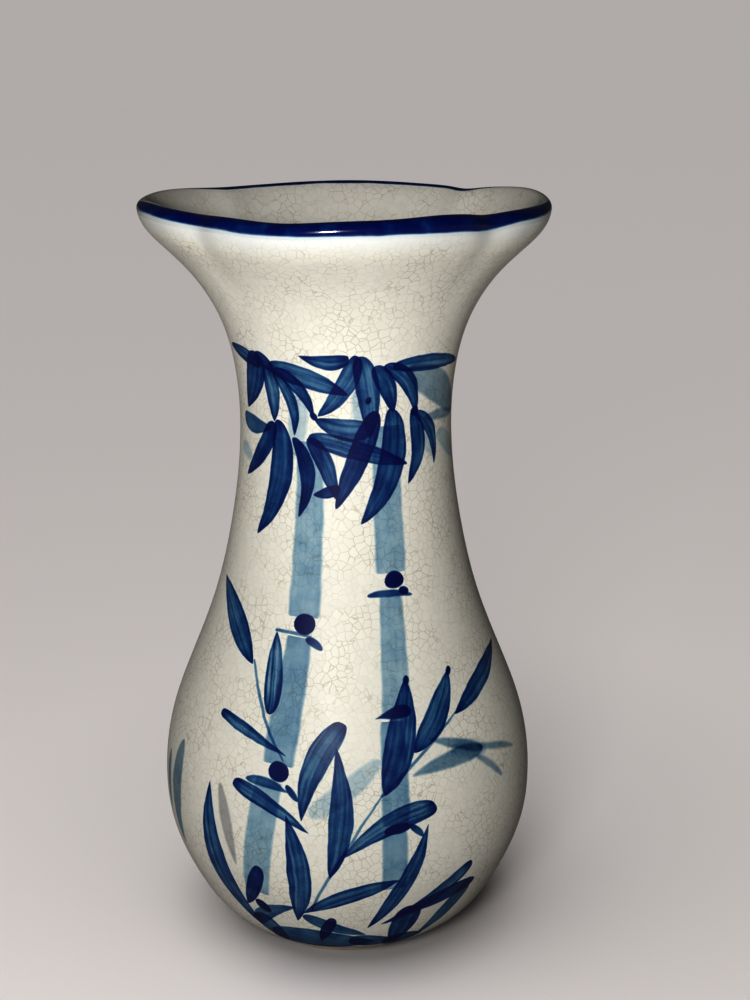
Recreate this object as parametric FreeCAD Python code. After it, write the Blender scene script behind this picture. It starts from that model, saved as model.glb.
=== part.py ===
import FreeCAD, Part
import math
import os

# A flower vase of crackle-glazed porcelain: a round belly, a slender waist and a
# trumpet mouth whose lip is pinched into four lobes.  Millimetres, +Z up.  The origin
# is the middle of the foot, on the surface that the vase stands on; -Y is the front.
#
# A fired vase is one piece of clay under fused layers of glaze, so the nodes are the
# clay body and the four glazes laid on it.  Every skin of the vase is one meridian
# curve swept round the axis, and the same lobes bend all of them near the lip.

# --- driving dimensions -----------------------------------------------------------

HEIGHT = 204.0           # foot to the crest of the lip
LIP_RADIUS = 53.3        # clay, at the middle of a lobe
LIP_ROLL = 2.0           # radius of the rounded lip
WALL = 4.0               # thrown wall, outside to inside
GLAZE = 0.4              # thickness of every glaze layer

FOOT_RADIUS = 28.6       # outer edge of the ring that touches the table
FOOT_RING = 5.5          # width of that ring
FOOT_DEPTH = 3.0         # height of the hollow under the base
FLOOR_HEIGHT = 8.5       # inside floor above the table
FLOOR_RADIUS = 22.0      # flat middle of the inside floor

# Outside of the clay, from the foot up to the flare: (radius, height).
OUTLINE = [
    (29.9, 1.9),         # bare clay ends, glaze begins
    (36.6, 6.2),         # underside of the belly
    (44.9, 18.0),
    (50.5, 33.0),
    (51.5, 45.0),        # belly, widest
    (49.1, 62.0),
    (43.3, 78.0),        # shoulder
    (36.4, 96.0),        # neck
    (31.0, 118.0),
    (28.1, 144.0),       # waist, narrowest
    (29.3, 162.0),
    (32.9, 174.6),       # trumpet opens
    (39.3, 185.0),
    (46.8, 192.5),
]

# The lip: four arcs meet at creases half-way between the lobes.
LOBES = 4
LOBE_ARC_OFFSET = 8.0    # each arc's centre, off the axis
CREASE_WIDTH = 6.0       # degrees from the crease to where the pinch has faded
LOBE_START = 168.0       # height at which the round neck begins to take the lobes
CREASE_START = 178.0     # height at which the creases begin

# The lip is pinched by hand, so no crease is like the next and the crest is not level.
# Azimuths are in degrees from the front, positive towards +X.
CREASES = [              # (azimuth, extra pinch, dip of the crest) at the lip
    (45.0, 1.3, 0.6),
    (135.0, 0.9, 0.6),
    (225.0, 0.3, 0.0),
    (315.0, 1.3, 0.4),
]
RISES = [                # (azimuth, height above level, half width in degrees)
    (27.0, 0.7, 12.0),
    (106.0, 1.7, 22.0),
    (178.0, 0.8, 26.0),
    (252.0, 1.1, 22.0),
    (288.0, 1.0, 16.0),
    (343.0, -0.8, 12.0),
]

# Where one glaze meets the next, measured along the skin from the crest of the lip.
BAND_OUTSIDE = 4.4       # the blue band reaches this far down the outside
BAND_INSIDE = 0.6        # and this far down the inside

LIP_ARC_STATIONS = (-20.0, 20.0, 60.0, 100.0, 140.0)   # degrees round the lip's roll
INSIDE_FROM = 2          # the inside follows OUTLINE from this point up
GLAZE_LINE_SLOPE = (0.87, 0.5)     # direction in which the belly leaves the glaze line
FLOOR_SLOPE = (-1.0, 0.0)          # direction in which the wall meets the inside floor
FOOT_SLOPES = ((1.5, 0.0), (0.9, 1.8))   # the foot's worn edge, at its ring and its top
RECESS_TAPER = 0.6       # draft of the hollow's wall under the base
BASE_GLAZE_GAP = 0.3     # the base glaze stops this far short of that wall
RING_POLES = 96          # control points round the axis
SEAM = 0.01              # edges closer than this are one edge


# --- the lobed lip ----------------------------------------------------------------

def ramp(low, high, value):
    """Rise smoothly from 0 at low to 1 at high."""
    share = min(max((value - low) / (high - low), 0.0), 1.0)
    return share * share * (3.0 - 2.0 * share)


def from_lobe(azimuth):
    """Angle in radians from the middle of the nearest lobe."""
    step = 2.0 * math.pi / LOBES
    return (azimuth + step / 2.0) % step - step / 2.0


def lobe_share(azimuth):
    """Radius of the lobed lip at an azimuth, as a share of the radius at a lobe's middle."""
    angle = from_lobe(azimuth)
    arc_radius = LIP_RADIUS - LOBE_ARC_OFFSET
    across = LOBE_ARC_OFFSET * math.sin(angle)
    reach = LOBE_ARC_OFFSET * math.cos(angle) + math.sqrt(arc_radius ** 2 - across ** 2)
    return reach / LIP_RADIUS


def swell(azimuth, middle, half_width):
    """1 at a middle azimuth, fading smoothly to nothing on both sides (degrees)."""
    off = (math.degrees(azimuth) - middle + 180.0) % 360.0 - 180.0
    return math.exp(-(off / half_width) ** 2)


def pinch(azimuth):
    """How far the creases draw the lip in at an azimuth."""
    return sum(depth * swell(azimuth, middle, CREASE_WIDTH) for middle, depth, _ in CREASES)


def hand_rise(azimuth):
    """How far the crest stands above level at an azimuth."""
    dips = sum(dip * swell(azimuth, middle, CREASE_WIDTH) for middle, _, dip in CREASES)
    rises = sum(rise * swell(azimuth, middle, half_width)
                for middle, rise, half_width in RISES)
    return rises - dips


def place(radius, height, azimuth):
    """Point of the vase for a point (radius, height) of a meridian curve."""
    lobed = ramp(LOBE_START, HEIGHT, height)
    creased = ramp(CREASE_START, HEIGHT, height)
    radius *= 1.0 - lobed * (1.0 - lobe_share(azimuth))
    radius -= creased * pinch(azimuth)
    height += creased * hand_rise(azimuth)
    return FreeCAD.Vector(radius * math.sin(azimuth), -radius * math.cos(azimuth), height)


# --- meridian curves --------------------------------------------------------------

def spline(points, start=None, end=None, parameters=None):
    """Smooth curve through (radius, height) points, with optional end directions."""
    vectors = [FreeCAD.Vector(radius, 0.0, height) for radius, height in points]
    if parameters is None:
        parameters = [0.0]
        for before, after in zip(vectors, vectors[1:]):
            parameters.append(parameters[-1] + before.distanceToPoint(after))
    directions = {}
    if start is not None:
        directions["InitialTangent"] = FreeCAD.Vector(start[0], 0.0, start[1])
        directions["FinalTangent"] = FreeCAD.Vector(end[0], 0.0, end[1])
        directions["Scale"] = False
    curve = Part.BSplineCurve()
    curve.interpolate(Points=vectors, Parameters=parameters, **directions)
    return curve


def straight(start, end):
    """Straight meridian between two (radius, height) points."""
    curve = Part.BSplineCurve()
    ends = [FreeCAD.Vector(radius, 0.0, height) for radius, height in (start, end)]
    curve.buildFromPolesMultsKnots(ends, [2, 2], [0.0, 1.0], False, 1)
    return curve


def off_surface(curve, parameter, distance):
    """(radius, height) at a distance out of a meridian that runs up the outside."""
    tangent = curve.tangent(parameter)[0]
    point = curve.value(parameter) + FreeCAD.Vector(tangent.z, 0.0, -tangent.x) * distance
    return point.x, point.z


def lip_arc():
    """Points over the rounded lip, from below its widest point to the inside."""
    middle_radius = LIP_RADIUS - LIP_ROLL
    middle_height = HEIGHT - GLAZE - LIP_ROLL
    points = []
    for degrees in LIP_ARC_STATIONS:
        turn = math.radians(degrees)
        points.append((middle_radius + LIP_ROLL * math.cos(turn),
                       middle_height + LIP_ROLL * math.sin(turn)))
    return points


def clay_meridian():
    """Skin of the clay, up the outside, over the lip and down to the inside floor."""
    outside = spline(OUTLINE)
    inside = []
    for radius, height in reversed(OUTLINE[INSIDE_FROM:]):
        station = outside.parameter(FreeCAD.Vector(radius, 0.0, height))
        inside.append(off_surface(outside, station, -WALL))
    floor_edge = (FLOOR_RADIUS, FLOOR_HEIGHT)
    points = OUTLINE + lip_arc() + inside + [floor_edge]
    return spline(points, start=GLAZE_LINE_SLOPE, end=FLOOR_SLOPE)


def glaze_meridian(clay):
    """Surface of the glaze over the clay, at the same parameters as the clay."""
    knots = clay.getKnots()
    parameters = [knots[0]]
    for before, after in zip(knots, knots[1:]):
        parameters += [(before + after) / 2.0, after]
    points = [off_surface(clay, parameter, GLAZE) for parameter in parameters]
    return spline(points, parameters=parameters)


def stretch(curve, first, last):
    """Part of a meridian between two parameters."""
    piece = curve.copy()
    piece.segment(first, last)
    return piece


# --- surfaces and solids ----------------------------------------------------------

def swept(curve):
    """Surface of a meridian swept round the vase, bent by the lobes near the lip."""
    # A closed cubic spline runs inside its control points; this brings it back out.
    gain = 3.0 / (2.0 + math.cos(2.0 * math.pi / RING_POLES))
    rows = []
    for pole in curve.getPoles():
        row = []
        for step in range(RING_POLES):
            row.append(place(pole.x * gain, pole.z, 2.0 * math.pi * step / RING_POLES))
        rows.append(row)
    surface = Part.BSplineSurface()
    surface.buildFromPolesMultsKnots(rows, curve.getMultiplicities(), [1] * (RING_POLES + 1),
                                     curve.getKnots(), list(range(RING_POLES + 1)),
                                     False, True, curve.Degree, 3)
    return surface.toShape()


def rim_of(face, highest):
    """The highest or the lowest closed edge of a swept face."""
    rings = [edge for edge in face.Edges if edge.isClosed()]
    rings.sort(key=lambda edge: edge.CenterOfMass.z)
    return Part.Wire([rings[-1 if highest else 0]])


def disc(radius, height):
    """Flat round face at a height, out to a radius."""
    cone = swept(straight((radius, height), (radius, height + 1.0)))
    return Part.Face(rim_of(cone, highest=False))


def flat_ring(outer_radius, inner_radius, height):
    """Flat face between two circles at a height."""
    wires = []
    for radius in (outer_radius, inner_radius):
        tube = swept(straight((radius, height), (radius, height + 1.0)))
        wires.append(rim_of(tube, highest=False))
    return Part.makeFace(wires, "Part::FaceMakerBullseye")


def closed_solid(faces):
    """Solid enclosed by faces whose edges meet."""
    skin = Part.makeCompound(faces)
    skin.sewShape(SEAM)
    shell = skin.Shells[0]
    solid = Part.makeSolid(shell)
    if solid.Volume < 0.0:
        shell.reverse()
        solid = Part.makeSolid(shell)
    return solid


# --- the pieces -------------------------------------------------------------------

def make_clay_body(clay, cuts):
    """The thrown body: wall, lip, inside floor and the foot ring under it."""
    glaze_line = OUTLINE[0]
    ring_outer = FOOT_RADIUS
    ring_inner = FOOT_RADIUS - FOOT_RING
    foot_edge = spline([(ring_outer, 0.0), glaze_line],
                       start=FOOT_SLOPES[0], end=FOOT_SLOPES[1])
    recess_wall = straight((ring_inner, 0.0), (ring_inner - RECESS_TAPER, FOOT_DEPTH))
    skins = [swept(stretch(clay, first, last)) for first, last in zip(cuts, cuts[1:])]
    return closed_solid(skins + [
        swept(foot_edge),
        flat_ring(ring_outer, ring_inner, 0.0),
        swept(recess_wall),
        disc(ring_inner - RECESS_TAPER, FOOT_DEPTH),
        disc(FLOOR_RADIUS, FLOOR_HEIGHT),
    ])


def glaze_edge(clay, glaze, parameter):
    """Thin wall across the glaze at one parameter of the meridian."""
    under = clay.value(parameter)
    over = glaze.value(parameter)
    return swept(straight((under.x, under.z), (over.x, over.z)))


def glaze_between(clay, glaze, first, last, ends):
    """Glaze layer lying on the clay between two parameters of the meridian, closed at
    its ends by other faces."""
    skins = [swept(stretch(curve, first, last)) for curve in (clay, glaze)]
    return closed_solid(skins + ends)


def make_base_glaze():
    """Glaze on the hollow under the base, inside the foot ring."""
    radius = FOOT_RADIUS - FOOT_RING - RECESS_TAPER - BASE_GLAZE_GAP
    low = FOOT_DEPTH - GLAZE
    return closed_solid([disc(radius, low),
                         disc(radius, FOOT_DEPTH),
                         swept(straight((radius, low), (radius, FOOT_DEPTH)))])


def make_vase():
    """Every piece of the vase, by the name of its node."""
    clay = clay_meridian()
    glaze = glaze_meridian(clay)
    start = clay.FirstParameter
    end = clay.LastParameter
    crest = clay.parameter(FreeCAD.Vector(LIP_RADIUS - LIP_ROLL, 0.0, HEIGHT - GLAZE))
    band_outside = crest - BAND_OUTSIDE
    band_inside = crest + BAND_INSIDE
    foot_end = glaze_edge(clay, glaze, start)
    outer_end = glaze_edge(clay, glaze, band_outside)
    inner_end = glaze_edge(clay, glaze, band_inside)
    # The inside glaze runs on over the flat middle of the floor.
    glaze_floor = glaze.value(end)
    floor = [disc(FLOOR_RADIUS, FLOOR_HEIGHT), disc(glaze_floor.x, glaze_floor.z)]
    return {
        "clay_body": make_clay_body(clay, [start, band_outside, band_inside, end]),
        "outer_glaze": glaze_between(clay, glaze, start, band_outside,
                                     [foot_end, outer_end]),
        "lip_band": glaze_between(clay, glaze, band_outside, band_inside,
                                  [outer_end, inner_end]),
        "inner_glaze": glaze_between(clay, glaze, band_inside, end, [inner_end] + floor),
        "base_glaze": make_base_glaze(),
    }


os.makedirs("parts", exist_ok=True)
for name, shape in make_vase().items():
    shape.exportStep("parts/" + name + ".step")
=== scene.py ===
import math
import bpy
import numpy as np
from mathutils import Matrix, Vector
from mathutils.bvhtree import BVHTree


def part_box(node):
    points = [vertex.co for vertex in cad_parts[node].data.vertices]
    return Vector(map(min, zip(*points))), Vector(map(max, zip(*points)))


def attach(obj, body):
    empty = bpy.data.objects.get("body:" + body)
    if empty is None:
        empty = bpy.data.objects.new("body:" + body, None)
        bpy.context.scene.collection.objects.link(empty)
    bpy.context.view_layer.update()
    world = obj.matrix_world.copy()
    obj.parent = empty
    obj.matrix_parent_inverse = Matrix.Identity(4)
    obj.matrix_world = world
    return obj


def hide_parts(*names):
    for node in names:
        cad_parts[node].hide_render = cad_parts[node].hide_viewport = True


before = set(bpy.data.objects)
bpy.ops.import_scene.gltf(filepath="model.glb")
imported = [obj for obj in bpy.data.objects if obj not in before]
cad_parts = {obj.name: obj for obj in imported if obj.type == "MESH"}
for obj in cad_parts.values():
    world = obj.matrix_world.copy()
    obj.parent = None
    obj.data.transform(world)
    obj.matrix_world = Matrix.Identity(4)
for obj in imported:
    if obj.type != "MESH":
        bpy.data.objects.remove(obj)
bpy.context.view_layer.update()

# A crackle-glazed porcelain vase with a four-lobed, blue-edged lip and bamboo painted
# under the glaze.  Shapes are in metres in the shared frame; the painting and the glaze
# are laid out in millimetres of height and degrees of azimuth, 0 at the front (-Y) and
# positive towards +X.

MM = 0.001
COLUMNS = 256            # vertices round the vase
ROW_PITCH = 1.25 * MM    # distance between rows on the outside
INSIDE_PITCH = 1.6 * MM  # the same on the inside
LIP_ROLL = 2.4 * MM      # radius of the rounded lip, over the glaze
LIP_STEP = 9.0           # degrees between rows over the lip
BAND_ENDS_AT = 116.0     # degrees round the lip where the blue glaze ends inside
SHELL = 0.3 * MM         # thickness of a glaze piece
ROUND_BELOW = 158 * MM   # the body is truly round below this height
LOBED_ABOVE = 174 * MM   # and fully free to follow the lobes above this one
HARMONICS = 44           # waves round the lip that are kept; finer ones are mesh facets
FLOOR_TURN = 17 * MM     # height where the inside wall turns into the floor
FOOT_GAP = 0.03 * MM     # how far above the foot edge of the glaze the grid starts
LIP_DROP = 0.5 * MM      # step between the heights searched for the lip's widest point
LIP_STATION = 0.35 * MM  # step between the radii searched for its crest
MERIDIAN_SAMPLES = 400   # points that measure a meridian before it is cut evenly
RAY_START = 80 * MM      # distance from the axis where rays towards the vase start
RAY_REACH = 60 * MM      # how far a ray may go when it may pass over the lip
DOWN = Vector((0, 0, -1))

# Edges of the blue band: azimuth and millimetres outwards from the crest of the lip.
BAND_TOP = [(-97, 2.6), (-88, 2.3), (-75, 1.1), (-45, -0.3), (0, -0.6), (45, -0.3),
            (75, 0.9), (88, 2.0), (97, 2.4), (110, 0.2), (135, -1.3), (180, -1.6),
            (225, -1.4), (250, 0.2)]
BAND_FOOT = [(-97, 2.8), (-88, 4.0), (-75, 3.7), (-60, 3.5), (-45, 3.6), (-30, 4.1),
             (-17, 3.9), (0, 4.3), (15, 4.5), (27, 5.2), (38, 5.0), (45, 4.4), (55, 3.7),
             (75, 3.6), (88, 3.8), (97, 2.6), (107, 3.7), (140, 4.3), (180, 3.9),
             (225, 4.3), (253, 3.7)]


# --- the glaze surface, read from the CAD nodes -------------------------------------

def surface_of(*nodes):
    """Ray-casting tree over the meshes of some CAD nodes."""
    points, faces = [], []
    for node in nodes:
        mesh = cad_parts[node].data
        first = len(points)
        points += [vertex.co.copy() for vertex in mesh.vertices]
        faces += [[first + index for index in face.vertices] for face in mesh.polygons]
    return BVHTree.FromPolygons(points, faces)


def hit(tree, origin, direction):
    """Radius and height where a ray first meets the surface."""
    point = tree.ray_cast(origin, direction)[0]
    return math.hypot(point.x, point.y), point.z


def around(values):
    """Values round the vase without the ripple of mesh facets."""
    waves = np.fft.rfft(values)
    order = np.arange(len(waves))
    return np.fft.irfft(waves / (1.0 + (order / HARMONICS) ** 8), len(values))


def lip_line(tree, outward, top):
    """Widest radius and crest height of the lip in every direction."""
    widest, crest = [], []
    for out in outward:
        heights = [top - step * LIP_DROP for step in range(1, 16)]
        radius = max(hit_or_zero(tree, out * RAY_START + Vector((0, 0, height)), -out)
                     for height in heights)
        stations = [radius - step * LIP_STATION for step in range(2, 14)]
        above = Vector((0, 0, top + 10 * MM))
        crest.append(max(hit(tree, out * station + above, DOWN)[1] for station in stations))
        widest.append(radius)
    return around(np.array(widest)), around(np.array(crest))


def hit_or_zero(tree, origin, direction):
    """Radius where a ray meets the surface near it, or 0 where it passes over."""
    point = tree.ray_cast(origin, direction, RAY_REACH)[0]
    return 0.0 if point is None else math.hypot(point.x, point.y)


def even_shares(probe, length_step):
    """Shares from 0 to 1 that cut the meridian given by probe(share) into even lengths."""
    shares = np.linspace(0.0, 1.0, MERIDIAN_SAMPLES)
    line = np.array([probe(share) for share in shares])
    run = np.concatenate([[0.0], np.cumsum(np.hypot(*np.diff(line, axis=0).T))])
    count = int(round(run[-1] / length_step))
    return np.interp(np.linspace(0.0, run[-1], count + 1), run, shares)


class Meridian:
    """The glaze surface in one direction from the axis, found by rays."""

    def __init__(self, tree, outward, foot, widest, crest):
        self.tree = tree
        self.outward = outward
        self.foot = foot
        self.roll_radius = widest - LIP_ROLL
        self.roll_height = crest - LIP_ROLL

    def outside(self, share):
        """Point at a share of the way up from the foot to the lip."""
        height = self.foot + share * (self.roll_height - self.foot)
        return hit(self.tree, self.outward * RAY_START + Vector((0, 0, height)), -self.outward)

    def over_lip(self, degrees):
        """Point at an angle over the lip, from 0 outside to 180 inside."""
        turn = math.radians(degrees)
        side = self.outward * math.cos(turn) + Vector((0, 0, math.sin(turn)))
        middle = self.outward * self.roll_radius + Vector((0, 0, self.roll_height))
        return hit(self.tree, middle + side * 3.0 * LIP_ROLL, -side)

    def inside(self, share):
        """Point at a share of the way down the inside to where it turns into the floor."""
        height = self.roll_height + share * (FLOOR_TURN - self.roll_height)
        return hit(self.tree, Vector((0, 0, height)), self.outward)

    def floor(self, share, turn_radius):
        """Point at a share of the way in from that turn to the middle of the floor."""
        radius = turn_radius * (1.0 - share)
        return hit(self.tree, self.outward * radius + Vector((0, 0, 2 * FLOOR_TURN)), DOWN)


def glaze_grid():
    """Radius and height of the whole glaze surface, row by row from the foot up the
    outside, over the lip and down the inside to the middle of the floor, and the rows
    where the blue band begins and ends."""
    tree = surface_of("outer_glaze", "lip_band", "inner_glaze")
    angles = np.arange(COLUMNS) * 2.0 * math.pi / COLUMNS
    outward = [Vector((math.sin(angle), -math.cos(angle), 0.0)) for angle in angles]
    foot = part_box("outer_glaze")[0].z + FOOT_GAP
    widest, crest = lip_line(tree, outward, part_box("lip_band")[1].z)
    lines = [Meridian(tree, outward[column], foot, widest[column], crest[column])
             for column in range(COLUMNS)]
    front = lines[0]
    turn_radius = front.inside(1.0)[0]
    degrees = np.arange(LIP_STEP, 180.0, LIP_STEP)
    outside_shares = even_shares(front.outside, ROW_PITCH)
    inside_shares = even_shares(front.inside, INSIDE_PITCH)
    floor_shares = even_shares(lambda share: front.floor(share, turn_radius), INSIDE_PITCH)
    rows = [[line.outside(share) for line in lines] for share in outside_shares]
    rows += [[line.over_lip(angle) for line in lines] for angle in degrees]
    rows += [[line.inside(share) for line in lines] for share in inside_shares]
    rows += [[line.floor(share, turn_radius) for line in lines] for share in floor_shares[1:-1]]
    band_start = len(outside_shares) - 2
    band_end = len(outside_shares) + int(np.searchsorted(degrees, BAND_ENDS_AT))
    return angles, settle(np.array(rows)), band_start, band_end


def settle(rows):
    """The grid without mesh facets: round where the body is round, lobed near the lip."""
    settled = np.empty_like(rows)
    for index, row in enumerate(rows):
        free = np.clip((row[:, 1].mean() - ROUND_BELOW) / (LOBED_ABOVE - ROUND_BELOW), 0.0, 1.0)
        for part in (0, 1):
            mean = row[:, part].mean()
            settled[index, :, part] = mean + free * (around(row[:, part]) - mean)
    return settled


# --- pieces built from the grid -----------------------------------------------------

def grid_points(angles, rows):
    """Points of a grid of (radius, height), in metres."""
    radius, height = rows[..., 0], rows[..., 1]
    return np.stack([radius * np.sin(angles), -radius * np.cos(angles), height], axis=-1)


def grid_normals(points):
    """Outward normals of a grid that closes round the vase."""
    along = np.gradient(points, axis=0)
    round_vase = np.roll(points, -1, axis=1) - np.roll(points, 1, axis=1)
    normals = np.cross(round_vase, along)
    return normals / np.linalg.norm(normals, axis=-1, keepdims=True)


def corner(row, column):
    """Index of a grid point."""
    return row * COLUMNS + column % COLUMNS


def sheet_rings(count, normals):
    """Faces of a shell's front and back, and the normal at each of their corners."""
    deep = count * COLUMNS
    rings, corner_normals = [], []
    for row in range(count - 1):
        for column in range(COLUMNS):
            ring = [corner(row, column), corner(row, column + 1),
                    corner(row + 1, column + 1), corner(row + 1, column)]
            rings += [ring, [index + deep for index in reversed(ring)]]
            corner_normals += [normals[index] for index in ring]
            corner_normals += [-normals[index] for index in reversed(ring)]
    return rings, corner_normals


def wall_rings(count, vertices, capped):
    """Faces that join the open edges of front and back, and their corner normals."""
    deep = count * COLUMNS
    rings, corner_normals = [], []
    for row, turn in [(0, 1)] if capped else [(0, 1), (count - 1, -1)]:
        for column in range(COLUMNS):
            a, b = corner(row, column), corner(row, column + 1)
            ring = [b, a, a + deep, b + deep] if turn > 0 else [a, b, b + deep, a + deep]
            rings.append(ring)
            first, second, third = vertices[ring[:3]]
            normal = np.cross(second - first, third - first)
            corner_normals += [normal / np.linalg.norm(normal)] * 4
    return rings, corner_normals


def cap_rings(count):
    """Faces that close the floor round its middle points, and their corner normals."""
    deep = count * COLUMNS
    up = np.array([0.0, 0.0, 1.0])
    rings, corner_normals = [], []
    for column in range(COLUMNS):
        a, b = corner(count - 1, column), corner(count - 1, column + 1)
        rings += [[a, b, 2 * deep], [b + deep, a + deep, 2 * deep + 1]]
        corner_normals += [up] * 3 + [-up] * 3
    return rings, corner_normals


def glaze_shell(name, points, normals, measures, capped):
    """Closed thin piece: the grid as its front, the same grid SHELL deeper as its back,
    walls between their open edges, and a middle point where the floor is capped.  The
    measures are numbers for every grid point that the materials read."""
    count = points.shape[0]
    vertices = np.concatenate([points.reshape(-1, 3), (points - normals * SHELL).reshape(-1, 3)])
    parts = [sheet_rings(count, normals.reshape(-1, 3)), wall_rings(count, vertices, capped)]
    if capped:
        middle = points[-1].mean(axis=0)
        vertices = np.concatenate([vertices, [middle, middle - (0.0, 0.0, SHELL)]])
        parts.append(cap_rings(count))
    mesh = bpy.data.meshes.new(name)
    mesh.from_pydata(vertices.tolist(), [], [ring for rings, _ in parts for ring in rings])
    for label, grid in measures.items():
        values = np.concatenate([grid.reshape(-1)] * 2)
        if capped:
            values = np.concatenate([values, [grid[-1].mean()] * 2])
        mesh.attributes.new(label, "FLOAT", "POINT").data.foreach_set("value", values)
    mesh.polygons.foreach_set("use_smooth", [True] * len(mesh.polygons))
    mesh.normals_split_custom_set([normal for _, part in parts for normal in part])
    piece = bpy.data.objects.new(name, mesh)
    bpy.context.scene.collection.objects.link(piece)
    return piece


def build_glazes():
    """The painted outside glaze, the blue lip glaze and the inside glaze."""
    angles, rows, band_start, band_end = glaze_grid()
    points = grid_points(angles, rows)
    normals = grid_normals(points)
    steps = np.linalg.norm(np.diff(points, axis=0), axis=-1)
    run = np.concatenate([np.zeros((1, COLUMNS)), np.cumsum(steps, axis=0)])
    crest_row = points[..., 2].mean(axis=1).argmax()
    from_crest = (run[crest_row] - run) / MM
    measures = {}
    for label, edge in (("into_band", BAND_TOP), ("below_band", BAND_FOOT)):
        azimuths, depths = np.array(edge).T
        measures[label] = from_crest - np.interp(np.degrees(angles), azimuths, depths, period=360.0)
    cuts = {
        "painted_glaze": (0, band_start, False),
        "blue_lip_glaze": (band_start, band_end, False),
        "inside_glaze": (band_end, len(rows) - 1, True),
    }
    pieces = {}
    for name, (first, last, capped) in cuts.items():
        part = slice(first, last + 1)
        cut_measures = {label: grid[part] for label, grid in measures.items()}
        pieces[name] = glaze_shell(name, points[part], normals[part], cut_measures, capped)
    return pieces


# --- short calls for building node trees ----------------------------------------------

class Nodes:
    """One node tree, with short calls for the nodes that this scene uses."""

    def __init__(self, tree):
        self.tree = tree

    def put(self, socket, value):
        """Link a socket, or set an input's value."""
        if isinstance(value, bpy.types.NodeSocket):
            self.tree.links.new(value, socket)
        else:
            socket.default_value = value

    def node(self, kind, inputs=None, **settings):
        """New node with its settings and inputs."""
        node = self.tree.nodes.new(kind)
        for name, value in settings.items():
            setattr(node, name, value)
        for name, value in (inputs or {}).items():
            self.put(node.inputs[name], value)
        return node

    def math(self, operation, *values):
        """Result of a Math node."""
        return self.node("ShaderNodeMath", dict(enumerate(values)), operation=operation).outputs[0]

    def vector(self, operation, *values):
        """Vector result of a Vector Math node."""
        return self.node("ShaderNodeVectorMath", dict(enumerate(values)),
                         operation=operation).outputs["Vector"]

    def dot(self, first, second):
        """Dot product of two vectors."""
        return self.node("ShaderNodeVectorMath", {0: first, 1: second},
                         operation="DOT_PRODUCT").outputs["Value"]

    def combine(self, x, y, z):
        """Vector from three numbers."""
        return self.node("ShaderNodeCombineXYZ", {"X": x, "Y": y, "Z": z}).outputs[0]

    def split(self, vector):
        """The three numbers of a vector."""
        return self.node("ShaderNodeSeparateXYZ", {0: vector}).outputs[:3]

    def noise(self, place, scale, detail=2.0, roughness=0.5):
        """Noise from 0 to 1 over a place in millimetres, scale in waves per millimetre."""
        inputs = {"Vector": place, "Scale": scale, "Detail": detail, "Roughness": roughness}
        return self.node("ShaderNodeTexNoise", inputs).outputs["Fac"]

    def ramp(self, value, low, high, to_low=0.0, to_high=1.0):
        """Smooth step of a value between two limits."""
        inputs = {"Value": value, "From Min": low, "From Max": high,
                  "To Min": to_low, "To Max": to_high}
        return self.node("ShaderNodeMapRange", inputs, clamp=False,
                         interpolation_type="SMOOTHSTEP").outputs["Result"]

    def mix(self, share, first, second, blend="MIX"):
        """Mix of two colours."""
        node = self.node("ShaderNodeMix", data_type="RGBA", blend_type=blend)
        self.put(node.inputs["Factor"], share)
        self.put(node.inputs[6], first)
        self.put(node.inputs[7], second)
        return node.outputs[2]


def new_group(name, inputs, outputs):
    """Node group with its sockets, as (group, nodes, inputs by name, output node)."""
    group = bpy.data.node_groups.new(name, "ShaderNodeTree")
    for label, kind in inputs:
        group.interface.new_socket(label, in_out="INPUT", socket_type="NodeSocket" + kind)
    for label, kind in outputs:
        group.interface.new_socket(label, in_out="OUTPUT", socket_type="NodeSocket" + kind)
    nodes = Nodes(group)
    given = nodes.node("NodeGroupInput").outputs
    result = nodes.node("NodeGroupOutput")
    return group, nodes, given, result


def new_material(name):
    """Empty procedural material, as (material, nodes, Principled BSDF)."""
    material = bpy.data.materials.new(name)
    material.use_nodes = True
    material.node_tree.nodes.clear()
    nodes = Nodes(material.node_tree)
    shader = nodes.node("ShaderNodeBsdfPrincipled")
    output = nodes.node("ShaderNodeOutputMaterial")
    nodes.put(output.inputs["Surface"], shader.outputs[0])
    return material, nodes, shader


# --- crackle ----------------------------------------------------------------------------

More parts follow.
